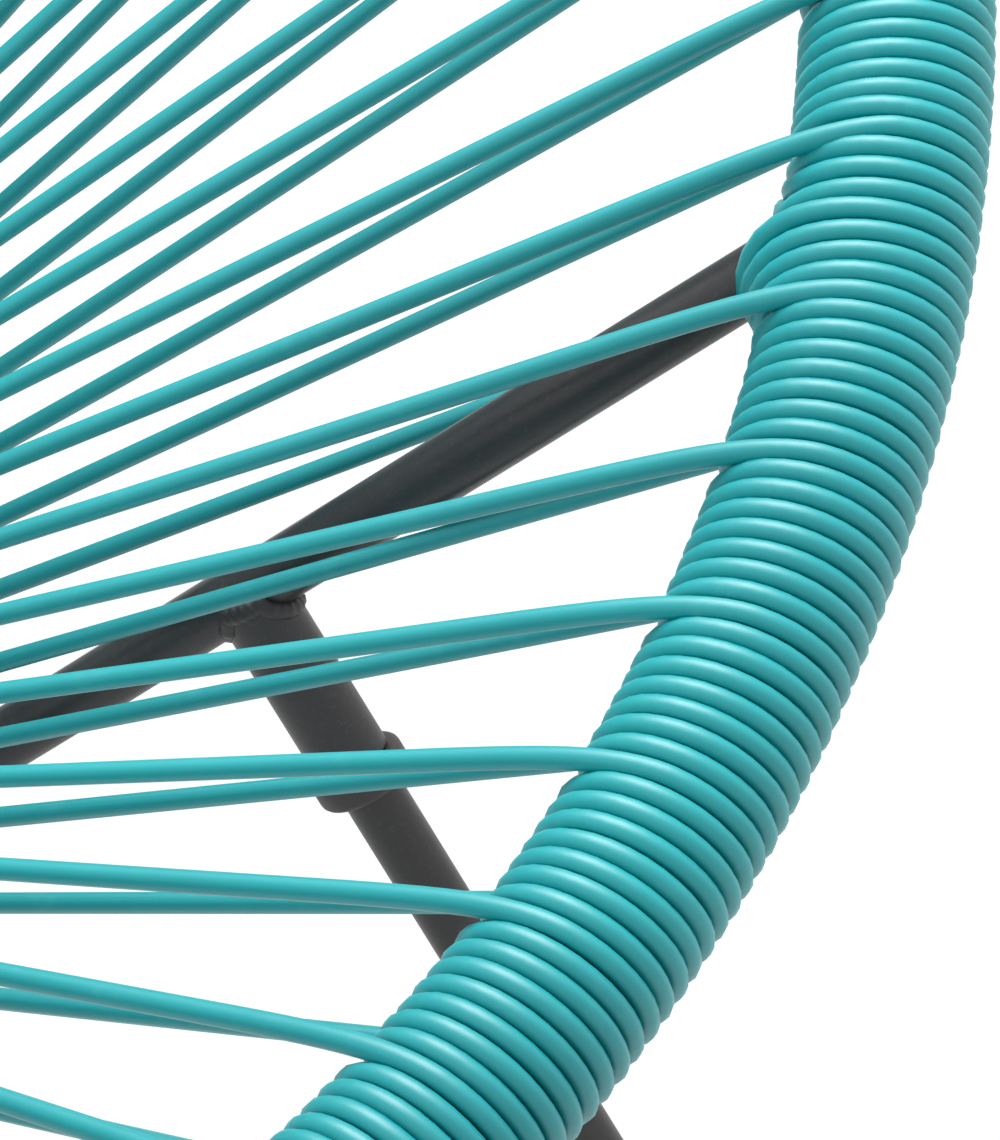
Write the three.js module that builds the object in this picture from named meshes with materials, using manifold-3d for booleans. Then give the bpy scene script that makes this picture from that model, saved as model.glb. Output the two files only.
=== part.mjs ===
// Acapulco chair: a wound egg-shaped hoop, a web of taut cord pairs and a knock-down three-legged base.
// Millimetres, Z up. The chair faces -Y and stands on the floor at zero. While it is built the centre
// ring is on the Z axis, and at the end the whole chair is moved so that its outline is.
import * as THREE from 'three';
import { mergeGeometries, mergeVertices } from 'three/addons/utils/BufferGeometryUtils.js';
import Module from 'manifold-3d';

const wasm = await Module();
wasm.setup();

// Fit between pieces that touch on the real chair
const seatGap = 0.3;
const windingSlack = 0.05;
const cutOverrun = 2;
const mergeDistance = 0.0001;
const facetTolerance = 0.04;

// Hoop: its outline is a short sum of sines and cosines round the centre ring
const hoopSideReach = 382;
const hoopForeReach = 364;
const hoopRise = 225;
const sideWaveShares = [1, 0.0325, 0.059];
const foreWaveShares = [0.0707, -1, -0.0212, -0.0561];
const riseWaveShares = [1.2763, -1, 0.0802, -0.0969];
const hoopTubeDiameter = 28;
const hoopTubeWall = 1.5;
const hoopSteps = 48;
const hoopSides = 10;
const hoopBoreSides = 6;
const ventDiameter = 6;

// Centre ring, where every cord pair turns back
const ringHeight = 300;
const ringRadius = 80;
const ringRodDiameter = 8;
const ringTilt = THREE.MathUtils.degToRad(22);
const ringSteps = 36;
const ringSides = 8;

// Cord: it winds round the hoop and runs to the ring and back once in every group of turns
const cordDiameter = 4.3;
const cordPairs = 74;
const turnsPerGroup = 8;
const firstPairShare = 0.9;
const pairSkew = 18;
const stringSides = 5;
const ringTurnSteps = 3;

// Wound stretch: these turns are shown one by one, all others as a sleeve of the same outside
const woundClearance = 0.62;
const woundFirstPair = 7;
const woundGroups = 1;
const woundSteps = 24;
const woundSides = 6;

// Under-frame tubes
const supportDiameter = 12.7;
const supportWall = 1.2;
const supportSides = 12;
const supportBoreSides = 8;
const supportSteps = 8;
const spineDrop = 100;
const spineFrontOverhang = 19;
const spineBackOverhang = 42;
const spineClosure = 2;

// Support tubes start at a weld on the hoop, at a share of its length from its front. Their routes
// are shares of the weld's offset from the spine, hoop end first
const frontWeldShare = 0.15916;
const rearWeldShare = 0.30216;
const frontArmShares = [[0.82, 0.935], [0.685, 0.771], [0.497, 0.662], [0.264, 0.547]];
const frontArmRiseShares = [0.832, 0.628, 0.425, 0.206];
const rearArmShares = [[0.77, 0.86], [0.61, 0.75], [0.43, 0.66], [0.22, 0.64]];
const rearArmRiseShares = [0.81, 0.56, 0.34, 0.15];
const frontArmEndShare = 0.424;
const rearArmEndShare = 0.64;

// Sockets, legs and feet. A front socket starts at a share of its support tube's length
const frontSocketShare = 0.359;
const frontFootSide = 407;
const frontFootFore = -280;
const rearFootBack = 300;
const socketDiameter = 16;
const socketBore = 13.3;
const socketLength = 42.5;
const legDiameter = 12.5;
const legWall = 1.2;
const legInsertion = 25.5;
const collarDiameter = 20.2;
const collarHeight = 6;
const collarChamfer = 1.2;
const footDiameter = 17;
const footHeight = 24;
const footFloor = 5;
const footLip = 1.5;
const roundSides = 14;

// Lock screws, one through each socket into its leg
const screwDiameter = 5;
const screwHeadDiameter = 8.5;
const screwHeadHeight = 3;
const screwSides = 12;
const hexKeySize = 4;
const hexKeyDepth = 1.8;

// Derived sizes
const hoopRadius = hoopTubeDiameter / 2;
const cordRadius = cordDiameter / 2;
const windingRadius = hoopRadius + seatGap + cordRadius;
const sleeveInner = hoopRadius + seatGap + windingSlack;
const sleeveOuter = hoopRadius + seatGap + cordDiameter;
const supportRadius = supportDiameter / 2;
const up = new THREE.Vector3(0, 0, 1);
const ringCentre = new THREE.Vector3(0, 0, ringHeight);

function finish(color, roughness, metalness) {
  return new THREE.MeshStandardMaterial({ color, roughness, metalness });
}

const cordMaterial = () => finish(0x2f9ca3, 0.38, 0);
const steelMaterial = () => finish(0x3e3a3c, 0.55, 0.35);
const rubberMaterial = () => finish(0x1b1b1c, 0.85, 0);
const screwMaterial = () => finish(0x8d9093, 0.35, 0.9);

// Solids

function toSolid(geometry) {
  const bare = new THREE.BufferGeometry();
  bare.setAttribute('position', geometry.getAttribute('position').clone());
  if (geometry.index) bare.setIndex(geometry.index.clone());
  const merged = mergeVertices(bare, mergeDistance);
  const mesh = new wasm.Mesh({
    numProp: 3,
    vertProperties: new Float32Array(merged.getAttribute('position').array),
    triVerts: new Uint32Array(merged.index.array),
  });
  mesh.merge();
  return new wasm.Manifold(mesh);
}

function toGeometry(solid) {
  const mesh = solid.getMesh();
  const geometry = new THREE.BufferGeometry();
  const positions = new Float32Array(mesh.vertProperties);
  geometry.setAttribute('position', new THREE.BufferAttribute(positions, 3));
  geometry.setIndex(new THREE.BufferAttribute(new Uint32Array(mesh.triVerts), 1));
  geometry.computeVertexNormals();
  return geometry;
}

function joinSolids(solids) {
  let joined = solids[0];
  for (const solid of solids.slice(1)) joined = joined.add(solid);
  return joined;
}

// A grid of rings becomes a closed skin, either end to end or capped with a fan at each end
function skinRings(rings, closed) {
  const sides = rings[0].length;
  const positions = [];
  const triangles = [];
  for (const ring of rings) for (const point of ring) positions.push(point.x, point.y, point.z);
  const lastStep = closed ? rings.length : rings.length - 1;
  for (let step = 0; step < lastStep; step += 1) {
    const here = step * sides;
    const next = ((step + 1) % rings.length) * sides;
    for (let side = 0; side < sides; side += 1) {
      const beside = (side + 1) % sides;
      triangles.push(here + side, here + beside, next + beside);
      triangles.push(here + side, next + beside, next + side);
    }
  }
  if (!closed) {
    const far = (rings.length - 1) * sides;
    for (let side = 1; side < sides - 1; side += 1) {
      triangles.push(0, side + 1, side);
      triangles.push(far, far + side, far + side + 1);
    }
  }
  const geometry = new THREE.BufferGeometry();
  geometry.setAttribute('position', new THREE.Float32BufferAttribute(positions, 3));
  geometry.setIndex(triangles);
  return geometry;
}

// A round tube through a list of points, with each section square to the path
function tubeThrough(points, radius, sides) {
  const rings = [];
  let across = null;
  for (let index = 0; index < points.length; index += 1) {
    const before = points[Math.max(index - 1, 0)];
    const after = points[Math.min(index + 1, points.length - 1)];
    const along = after.clone().sub(before).normalize();
    const seed = across ?? (Math.abs(along.z) > 0.9 ? new THREE.Vector3(1, 0, 0) : up);
    across = seed.clone().addScaledVector(along, -seed.dot(along)).normalize();
    const third = along.clone().cross(across);
    const ring = [];
    for (let side = 0; side < sides; side += 1) {
      const angle = (side / sides) * Math.PI * 2;
      ring.push(points[index].clone()
        .addScaledVector(across, radius * Math.cos(angle))
        .addScaledVector(third, radius * Math.sin(angle)));
    }
    rings.push(ring);
  }
  return skinRings(rings, false);
}

// A cylinder between two points
function rodBetween(start, end, radius, sides) {
  const length = start.distanceTo(end);
  const rod = new THREE.CylinderGeometry(radius, radius, length, sides);
  rod.translate(0, length / 2, 0);
  rod.rotateX(Math.PI / 2);
  rod.applyMatrix4(placementAlong(start, end.clone().sub(start)));
  return rod;
}

// The matrix that takes the Z axis at the origin to a direction at a point
function placementAlong(origin, direction) {
  const turn = new THREE.Quaternion().setFromUnitVectors(up, direction.clone().normalize());
  return new THREE.Matrix4().compose(origin, turn, new THREE.Vector3(1, 1, 1));
}

// A lathed outline given as [radius, height] pairs, turned about Z
function lathed(outline, sides) {
  const points = outline.map(([radius, height]) => new THREE.Vector2(radius, height));
  const turned = new THREE.LatheGeometry(points, sides);
  turned.rotateX(Math.PI / 2);
  return turned;
}

// Hoop and its rail

class HoopCurve extends THREE.Curve {
  getPoint(share, target = new THREE.Vector3()) {
    const angle = share * Math.PI * 2;
    let side = 0;
    let fore = foreWaveShares[0];
    let rise = riseWaveShares[0];
    sideWaveShares.forEach((wave, index) => { side += wave * Math.sin((index + 1) * angle); });
    for (let wave = 1; wave < foreWaveShares.length; wave += 1) {
      fore += foreWaveShares[wave] * Math.cos(wave * angle);
      rise += riseWaveShares[wave] * Math.cos(wave * angle);
    }
    target.set(hoopSideReach * side, hoopForeReach * fore, hoopRise * rise);
    return target.add(ringCentre);
  }
}

const hoopCurve = new HoopCurve();
hoopCurve.arcLengthDivisions = 2000;
const hoopLength = hoopCurve.getLength();
const pairSpacing = hoopLength / cordPairs;
const turnPitch = pairSpacing / turnsPerGroup;

// A station of the rail: the hoop's centre, the way inward to the ring and the sitter's side
function curveStation(share) {
  const centre = hoopCurve.getPointAt(share % 1);
  const along = hoopCurve.getTangentAt(share % 1);
  const inward = ringCentre.clone().sub(centre);
  inward.addScaledVector(along, -inward.dot(along)).normalize();
  const upper = along.clone().cross(inward);
  return { centre, along, inward, upper };
}

const knots = [];
for (let knot = 0; knot < hoopSteps; knot += 1) knots.push(curveStation(knot / hoopSteps));

// Between knots the rail is straight, so the tube, the sleeves and the turns share one surface
function railStation(distance) {
  const place = (((distance / hoopLength) % 1) + 1) % 1 * hoopSteps;
  const knot = Math.floor(place) % hoopSteps;
  const blend = place - Math.floor(place);
  const here = knots[knot];
  const next = knots[(knot + 1) % hoopSteps];
  return {
    centre: here.centre.clone().lerp(next.centre, blend),
    along: next.centre.clone().sub(here.centre).normalize(),
    inward: here.inward.clone().lerp(next.inward, blend),
    upper: here.upper.clone().lerp(next.upper, blend),
  };
}

function roundAt(station, radius, angle) {
  return station.centre.clone()
    .addScaledVector(station.inward, radius * Math.cos(angle))
    .addScaledVector(station.upper, radius * Math.sin(angle));
}

function railRing(distance, radius, sides) {
  const station = railStation(distance);
  const ring = [];
  for (let side = 0; side < sides; side += 1) {
    ring.push(roundAt(station, radius, (side / sides) * Math.PI * 2));
  }
  return ring;
}

function railTube(radius, sides) {
  const rings = [];
  for (let knot = 0; knot < hoopSteps; knot += 1) {
    rings.push(railRing((knot / hoopSteps) * hoopLength, radius, sides));
  }
  return skinRings(rings, true);
}

function railStops(start, end) {
  const step = hoopLength / hoopSteps;
  const stops = [start];
  for (let knot = Math.floor(start / step) + 1; knot * step < end; knot += 1) {
    const knotDistance = knot * step;
    if (knotDistance - start > seatGap && end - knotDistance > seatGap) stops.push(knotDistance);
  }
  stops.push(end);
  return stops;
}

function sleeveSolid(start, end) {
  const stops = railStops(start, end);
  const outer = stops.map((stop) => railRing(stop, sleeveOuter, hoopSides));
  const longer = [start - cutOverrun, ...stops.slice(1, -1), end + cutOverrun];
  const inner = longer.map((stop) => railRing(stop, sleeveInner, hoopSides));
  return toSolid(skinRings(outer, false)).subtract(toSolid(skinRings(inner, false)));
}

// Centre ring

const ringAcross = new THREE.Vector3(1, 0, 0);
const ringBack = new THREE.Vector3(0, Math.cos(ringTilt), Math.sin(ringTilt));
const ringNormal = ringAcross.clone().cross(ringBack);

function ringOutward(angle) {
  return ringAcross.clone().multiplyScalar(Math.cos(angle)).addScaledVector(ringBack, Math.sin(angle));
}

function centreRing() {
  const rod = new THREE.TorusGeometry(ringRadius, ringRodDiameter / 2, ringSides, ringSteps);
  rod.rotateX(ringTilt);
  rod.translate(ringCentre.x, ringCentre.y, ringCentre.z);
  return toGeometry(toSolid(rod));
}

// Cord pairs

const ringTurnRadius = (ringRodDiameter / 2 + seatGap + cordRadius) / Math.cos(Math.PI / 2 / ringTurnSteps);

function pairDistance(pair) {
  return (pair + firstPairShare) * pairSpacing;
}

function pairRingAngle(pair) {
  return ((pair + firstPairShare) / cordPairs) * Math.PI * 2 - Math.PI / 2;
}

function roundRing(angle, roll, radius) {
  const outward = ringOutward(angle);
  return ringCentre.clone()
    .addScaledVector(outward, ringRadius + radius * Math.cos(roll))
    .addScaledVector(ringNormal, radius * Math.sin(roll));
}

// Where a taut cord from a point far off leaves a round of this radius, as an angle about it
function tangentAngle(inwardReach, upperReach, radius, side) {
  const reach = Math.hypot(inwardReach, upperReach);
  return Math.atan2(upperReach, inwardReach) + side * Math.acos(radius / reach);
}

function rimAngle(station, target, side) {
  const away = target.clone().sub(station.centre);
  return tangentAngle(away.dot(station.inward), away.dot(station.upper), windingRadius, side);
}

// The same about the ring's rod, for a cord that runs to a place on the hoop
function ringRoll(angle, target, side) {
  const away = target.clone().sub(roundRing(angle, 0, 0));
  return tangentAngle(away.dot(ringOutward(angle)), away.dot(ringNormal), ringTurnRadius, side);
}

// A pair: one cord comes off the underside of the hoop, turns round the ring, and goes back on top
function pairRoute(pair) {
  const frontAngle = pairRingAngle(pair);
  const backAngle = frontAngle - pairSkew / ringRadius;
  const frontStation = railStation(pairDistance(pair));
  const backStation = railStation(pairDistance(pair) - turnPitch / 2);
  const frontRoll = ringRoll(frontAngle, frontStation.centre, 1);
  const backRoll = ringRoll(backAngle, backStation.centre, -1) + Math.PI * 2;
  const frontRim = rimAngle(frontStation, roundRing(frontAngle, frontRoll, ringTurnRadius), 1);
  const backRim = rimAngle(backStation, roundRing(backAngle, backRoll, ringTurnRadius), -1);
  const turn = [];
  for (let step = 0; step <= ringTurnSteps; step += 1) {
    const share = step / ringTurnSteps;
    const roll = THREE.MathUtils.lerp(backRoll, frontRoll, share);
    const angle = THREE.MathUtils.lerp(backAngle, frontAngle, share);
    turn.push(roundRing(angle, roll, ringTurnRadius));
  }
  return {
    back: roundAt(backStation, windingRadius, backRim),
    front: roundAt(frontStation, windingRadius, frontRim),
    backRim,
    frontRim,
    turn,
  };
}

function pushedBack(start, toward, length) {
  return start.clone().addScaledVector(start.clone().sub(toward).normalize(), length);
}

function pairSolid(pair) {
  const route = pairRoute(pair);
  const first = route.turn[0];
  const last = route.turn[route.turn.length - 1];
  const backEnd = pushedBack(route.back, first, seatGap);
  const frontEnd = pushedBack(route.front, last, seatGap);
  return toSolid(tubeThrough([backEnd, ...route.turn, frontEnd], cordRadius, stringSides));
}

// A sector's sleeve has a hole where a support tube reaches the hoop
function cordSector(firstPair, pairCount, startTurns, endTurns, supports) {
  const start = pairDistance(firstPair) - turnPitch * startTurns;
  const end = pairDistance(firstPair + pairCount) - turnPitch * endTurns - seatGap;
  let sleeve = sleeveSolid(start, end);
  for (const support of supports) sleeve = sleeve.subtract(support);
  const solids = [largestPiece(sleeve)];
  for (let pair = firstPair; pair < firstPair + pairCount; pair += 1) solids.push(pairSolid(pair));
  return toGeometry(joinSolids(solids).asOriginal().simplify(facetTolerance));
}

// Wound stretch

function windTurns(points, firstDistance, startAngle, sweep) {
  const steps = Math.round((sweep / (Math.PI * 2)) * woundSteps);
  for (let step = 0; step <= steps; step += 1) {
    const angle = startAngle + (sweep * step) / steps;
    const distance = firstDistance + (turnPitch * (angle - startAngle)) / (Math.PI * 2);
    points.push(roundAt(railStation(distance), windingRadius, angle));
  }
}

function straightEnd(points, atStart) {
  const tip = atStart ? points[0] : points[points.length - 1];
  const inner = atStart ? points[1] : points[points.length - 2];
  const end = pushedBack(tip, inner, cordDiameter);
  if (atStart) points.unshift(end);
  else points.push(end);
}

function woundRoute() {
  const points = [];
  const lastPair = woundFirstPair + woundGroups - 1;
  const opening = pairRoute(woundFirstPair);
  const openingStart = pairDistance(woundFirstPair) - turnPitch * 1.5;
  windTurns(points, openingStart, opening.backRim, Math.PI * 2);
  for (let pair = woundFirstPair; pair <= lastPair; pair += 1) {
    const route = pairRoute(pair);
    points.push(...route.turn);
    const nextBack = pairRoute(pair + 1).backRim;
    const groupSweep = nextBack + Math.PI * 2 * turnsPerGroup - route.frontRim;
    const sweep = pair === lastPair ? Math.PI * 2 * (turnsPerGroup - 2) : groupSweep;
    windTurns(points, pairDistance(pair), route.frontRim, sweep);
  }
  straightEnd(points, true);
  straightEnd(points, false);
  return points;
}

function leastSelfGap(points, diameter) {
  let least = Infinity;
  const apart = Math.round(woundSteps / 2);
  for (let here = 0; here < points.length; here += 1) {
    for (let other = here + apart; other < points.length; other += 1) {
      least = Math.min(least, points[here].distanceTo(points[other]) - diameter);
    }
  }
  return least;
}

function woundCord() {
  const points = woundRoute();
  const diameter = turnPitch - woundClearance;
  console.log('least gap of the wound cord to itself, mm:', leastSelfGap(points, diameter).toFixed(3));
  return toGeometry(toSolid(tubeThrough(points, diameter / 2, woundSides)));
}

// Under-frame

function spineHeight() {
  return ringHeight - spineDrop;
}

function weldPoint(weldShare) {
  return railStation(weldShare * hoopLength).centre;
}

function armRoute(weldShare, planShares, riseShares, endShare, side) {
  const weld = weldPoint(weldShare);
  const rise = weld.z - spineHeight();
  const points = [weld.clone()];
  planShares.forEach(([sideShare, foreShare], index) => {
    const height = spineHeight() + rise * riseShares[index];
    points.push(new THREE.Vector3(weld.x * sideShare, weld.y * foreShare, height));
  });
  points.push(new THREE.Vector3(0, weld.y * endShare, spineHeight()));
  if (side < 0) for (const point of points) point.x *= -1;
  return new THREE.CatmullRomCurve3(points, false, 'centripetal');
}

function roundSection(radius, sides) {
  const section = new THREE.Shape();
  for (let side = 0; side < sides; side += 1) {
    const angle = (side / sides) * Math.PI * 2;
    const corner = [radius * Math.cos(angle), radius * Math.sin(angle)];
    if (side === 0) section.moveTo(...corner);
    else section.lineTo(...corner);
  }
  section.closePath();
  return section;
}

function tubeAlong(curve, radius, sides, steps) {
  const options = { steps, extrudePath: curve, bevelEnabled: false };
  return toSolid(new THREE.ExtrudeGeometry(roundSection(radius, sides), options));
}

const hoopKeepout = toSolid(railTube(hoopRadius + seatGap, hoopSides));

// The spine runs a little past the support tubes at both ends
function spineAxis() {
  const front = weldPoint(frontWeldShare).y * frontArmEndShare - spineFrontOverhang;
  const back = weldPoint(rearWeldShare).y * rearArmEndShare + spineBackOverhang;
  return [new THREE.Vector3(0, front, spineHeight()), new THREE.Vector3(0, back, spineHeight())];
}

function spineKeepout() {
  const [start, end] = spineAxis();
  return toSolid(rodBetween(start, end, supportRadius + seatGap, supportSides));
}

// Everything on the other side of the chair's middle
function otherSide(side) {
  const reach = hoopSideReach * 2;
  const block = new THREE.BoxGeometry(reach, reach * 2, reach * 2);
  block.translate(side * (seatGap / 2 - reach / 2), 0, ringHeight);
  return toSolid(block);
}

function supportArm(curve, side) {
  const outer = tubeAlong(curve, supportRadius, supportSides, supportSteps);
  const bore = tubeAlong(curve, supportRadius - supportWall, supportBoreSides, supportSteps);
  const coped = outer.subtract(bore).subtract(hoopKeepout).subtract(spineKeepout());
  return toGeometry(largestPiece(coped.subtract(otherSide(side))));
}

function spineTube() {
  const [start, end] = spineAxis();
  const outer = toSolid(rodBetween(start, end, supportRadius, supportSides));
  const boreStart = start.clone().setY(start.y - cutOverrun);
  const boreEnd = end.clone().setY(end.y - spineClosure);
  const bore = toSolid(rodBetween(boreStart, boreEnd, supportRadius - supportWall, supportBoreSides));
  return toGeometry(outer.subtract(bore));
}

function hoopTube(arms) {
  const outer = toSolid(railTube(hoopRadius, hoopSides));
  const bore = toSolid(railTube(hoopRadius - hoopTubeWall, hoopBoreSides));
  let tube = outer.subtract(bore);
  for (const arm of arms) {
    const start = arm.getPointAt(0);
    const inside = start.clone().addScaledVector(arm.getTangentAt(0), hoopTubeDiameter);
    tube = tube.subtract(toSolid(rodBetween(start, inside, ventDiameter / 2, hoopSides)));
  }
  return toGeometry(tube);
}

// Legs: each has the point on the base where its socket starts and the point where it meets the floor

function legAxis(top, foot) {
  return { top, foot, direction: foot.clone().sub(top).normalize() };
}

function along(axis, distance) {
  return axis.top.clone().addScaledVector(axis.direction, distance);
}

function socket(axis, carriers) {
  const end = along(axis, socketLength);
  const outer = toSolid(rodBetween(axis.top, end, socketDiameter / 2, roundSides));
  const boreEnds = [along(axis, supportRadius + seatGap), along(axis, socketLength + cutOverrun)];
  const bore = toSolid(rodBetween(...boreEnds, socketBore / 2, roundSides));
  let tube = outer.subtract(bore).subtract(screwHole(axis));
  for (const carrier of carriers) tube = tube.subtract(carrier);
  return toGeometry(largestPiece(tube));
}

function largestPiece(solid) {
  const pieces = solid.decompose();
  pieces.sort((a, b) => b.volume() - a.volume());
  return pieces[0];
}

function legStart() {
  return socketLength - legInsertion;
}

function legEnd(axis) {
  return axis.top.distanceTo(axis.foot) - (footFloor + footDiameter / 2);
}

function leg(axis) {
  const start = along(axis, legStart());
  const end = along(axis, legEnd(axis));
  const outer = toSolid(rodBetween(start, end, legDiameter / 2, roundSides));
  const boreEnds = [along(axis, legStart() - cutOverrun), along(axis, legEnd(axis) + cutOverrun)];
  const bore = toSolid(rodBetween(...boreEnds, legDiameter / 2 - legWall, roundSides));
  return toGeometry(outer.subtract(bore).subtract(screwHole(axis)));
}

function stopCollar(axis) {
  const inner = legDiameter / 2 + seatGap;
  const outer = collarDiameter / 2;
  const shoulder = collarHeight - collarChamfer;
  const outline = [
    [inner, 0], [outer - collarChamfer, 0], [outer, collarChamfer], [outer, shoulder],
    [outer - collarChamfer, collarHeight], [inner, collarHeight], [inner, 0],
  ];
  const ring = lathed(outline, roundSides);
  ring.applyMatrix4(placementAlong(along(axis, socketLength + seatGap), axis.direction));
  return toGeometry(toSolid(ring));
}

function footCap(axis) {
  const reach = axis.top.distanceTo(axis.foot);
  const capEnds = [along(axis, reach - footHeight), along(axis, reach + footDiameter)];
  const cap = toSolid(rodBetween(...capEnds, footDiameter / 2, roundSides));
  const pocketEnds = [along(axis, reach - footHeight - cutOverrun), along(axis, legEnd(axis) + seatGap)];
  const pocket = toSolid(rodBetween(...pocketEnds, legDiameter / 2 + seatGap, roundSides));
  const floorBlock = new THREE.BoxGeometry(footDiameter * 4, footDiameter * 4, footDiameter * 4);
  floorBlock.translate(axis.foot.x, axis.foot.y, -footDiameter * 2);
  return toGeometry(cap.subtract(pocket).subtract(toSolid(floorBlock)));
}

// The lock screw goes in level from the side that faces the chair's back
function screwAxis(axis) {
  const middle = along(axis, socketLength - legInsertion / 2);
  const inward = new THREE.Vector3(0, 1, 0);
  inward.addScaledVector(axis.direction, -inward.dot(axis.direction)).normalize();
  return { middle, inward };
}

function screwHole(axis) {
  const { middle, inward } = screwAxis(axis);
  const end = middle.clone().addScaledVector(inward, socketDiameter);
  return toSolid(rodBetween(middle, end, screwDiameter / 2 + seatGap, screwSides));
}

function lockScrew(axis) {
  const { middle, inward } = screwAxis(axis);
  const reached = (distance) => middle.clone().addScaledVector(inward, distance);
  const seat = socketDiameter / 2 + seatGap;
  const top = seat + screwHeadHeight;
  const tip = legDiameter / 2 - legWall * 2;
  const shank = toSolid(rodBetween(reached(tip), reached(seat + seatGap), screwDiameter / 2, screwSides));
  const head = toSolid(rodBetween(reached(seat), reached(top), screwHeadDiameter / 2, roundSides));
  const keyRadius = hexKeySize / 2 / Math.cos(Math.PI / 6);
  const key = toSolid(rodBetween(reached(top - hexKeyDepth), reached(top + cutOverrun), keyRadius, 6));
  return toGeometry(shank.add(head).subtract(key));
}

// Assembly

const chair = new THREE.Group();

function addPiece(name, geometry, material) {
  const mesh = new THREE.Mesh(geometry, material);
  mesh.name = name;
  chair.add(mesh);
}

const frontArmRight = armRoute(frontWeldShare, frontArmShares, frontArmRiseShares, frontArmEndShare, 1);
const frontArmLeft = armRoute(frontWeldShare, frontArmShares, frontArmRiseShares, frontArmEndShare, -1);
const rearArmRight = armRoute(rearWeldShare, rearArmShares, rearArmRiseShares, rearArmEndShare, 1);
const rearArmLeft = armRoute(rearWeldShare, rearArmShares, rearArmRiseShares, rearArmEndShare, -1);

function armKeepout(curve) {
  return tubeAlong(curve, supportRadius + seatGap, supportSides, supportSteps);
}

addPiece('hoop_tube', hoopTube([frontArmRight, frontArmLeft, rearArmRight, rearArmLeft]), steelMaterial());
addPiece('centre_ring', centreRing(), steelMaterial());
addPiece('front_support_right', supportArm(frontArmRight, 1), steelMaterial());
addPiece('front_support_left', supportArm(frontArmLeft, -1), steelMaterial());
addPiece('rear_support_right', supportArm(rearArmRight, 1), steelMaterial());
addPiece('rear_support_left', supportArm(rearArmLeft, -1), steelMaterial());
addPiece('spine_tube', spineTube(), steelMaterial());

const frontFootRight = new THREE.Vector3(frontFootSide, frontFootFore, 0);
const frontFootLeft = new THREE.Vector3(-frontFootSide, frontFootFore, 0);
const rearFoot = new THREE.Vector3(0, rearFootBack, 0);
const rearSocketTop = spineAxis()[1].clone();
rearSocketTop.y -= socketDiameter;
const frontAxisRight = legAxis(frontArmRight.getPointAt(frontSocketShare), frontFootRight);
const frontAxisLeft = legAxis(frontArmLeft.getPointAt(frontSocketShare), frontFootLeft);
const legs = [
  ['front_right', frontAxisRight, [armKeepout(frontArmRight)]],
  ['front_left', frontAxisLeft, [armKeepout(frontArmLeft)]],
  ['rear', legAxis(rearSocketTop, rearFoot),
    [spineKeepout(), armKeepout(rearArmRight), armKeepout(rearArmLeft)]],
];
for (const [place, axis, carriers] of legs) {
  addPiece(`${place}_leg_socket`, socket(axis, carriers), steelMaterial());
  addPiece(`${place}_leg`, leg(axis), steelMaterial());
  addPiece(`${place}_stop_collar`, stopCollar(axis), steelMaterial());
  addPiece(`${place}_lock_screw`, lockScrew(axis), screwMaterial());
  addPiece(`${place}_foot_cap`, footCap(axis), rubberMaterial());
}

const cordSectors = [
  ['seat_cord_front_right', 0, 7, 4, 2.1, []],
  ['seat_cord_right_side', 8, 9, 1.1, 4, [armKeepout(frontArmRight)]],
  ['back_cord_right_lower', 17, 8, 4, 4, [armKeepout(rearArmRight)]],
  ['back_cord_right_upper', 25, 8, 4, 4, []],
  ['back_cord_top', 33, 8, 4, 4, []],
  ['back_cord_left_upper', 41, 8, 4, 4, []],
  ['back_cord_left_lower', 49, 8, 4, 4, [armKeepout(rearArmLeft)]],
  ['seat_cord_left_side', 57, 8, 4, 4, [armKeepout(frontArmLeft)]],
  ['seat_cord_front_left', 65, 9, 4, 4, []],
];
for (const [name, firstPair, pairCount, startTurns, endTurns, supports] of cordSectors) {
  addPiece(name, cordSector(firstPair, pairCount, startTurns, endTurns, supports), cordMaterial());
}
addPiece('seat_cord_wound_turns', woundCord(), cordMaterial());

// The origin is moved to the floor under the middle of the chair's outline
const middle = new THREE.Box3().setFromObject(chair).getCenter(new THREE.Vector3());
for (const piece of chair.children) piece.geometry.translate(0, -middle.y, 0);

export default chair;
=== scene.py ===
# %% [markdown]
# # An acapulco chair, seen close up on its wound rim
#
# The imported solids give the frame: where the hoop, the centre ring, the support tubes and the legs are.
# This lesson dresses them. The cord is wound turn by turn round the hoop, the tubes get their round
# walls, welds and powder coat, and the small parts get their chamfers. Everything is in metres.

# %% Load the frame
import math
import bmesh
import bpy
from mathutils import Matrix, Vector, noise


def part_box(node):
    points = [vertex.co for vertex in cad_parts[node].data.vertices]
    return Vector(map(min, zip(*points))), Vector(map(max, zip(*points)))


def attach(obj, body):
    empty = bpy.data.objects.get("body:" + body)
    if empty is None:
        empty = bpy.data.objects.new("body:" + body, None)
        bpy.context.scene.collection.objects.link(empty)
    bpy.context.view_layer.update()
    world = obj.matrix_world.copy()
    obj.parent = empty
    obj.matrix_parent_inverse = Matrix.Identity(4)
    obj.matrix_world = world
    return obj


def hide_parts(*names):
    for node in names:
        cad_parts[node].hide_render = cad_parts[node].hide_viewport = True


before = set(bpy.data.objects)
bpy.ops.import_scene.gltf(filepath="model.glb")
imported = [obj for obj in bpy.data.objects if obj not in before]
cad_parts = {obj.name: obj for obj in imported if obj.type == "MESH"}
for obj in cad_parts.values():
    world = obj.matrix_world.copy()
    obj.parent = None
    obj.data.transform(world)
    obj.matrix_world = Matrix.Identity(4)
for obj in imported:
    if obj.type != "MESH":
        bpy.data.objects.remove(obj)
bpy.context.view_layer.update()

# %% [markdown]
# ## The sizes that the solids were made with
#
# A dressed piece has to sit exactly on its solid, so the same named sizes are used again here, in
# metres. The centre ring's middle is read from its solid, and all routes start from it.

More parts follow.
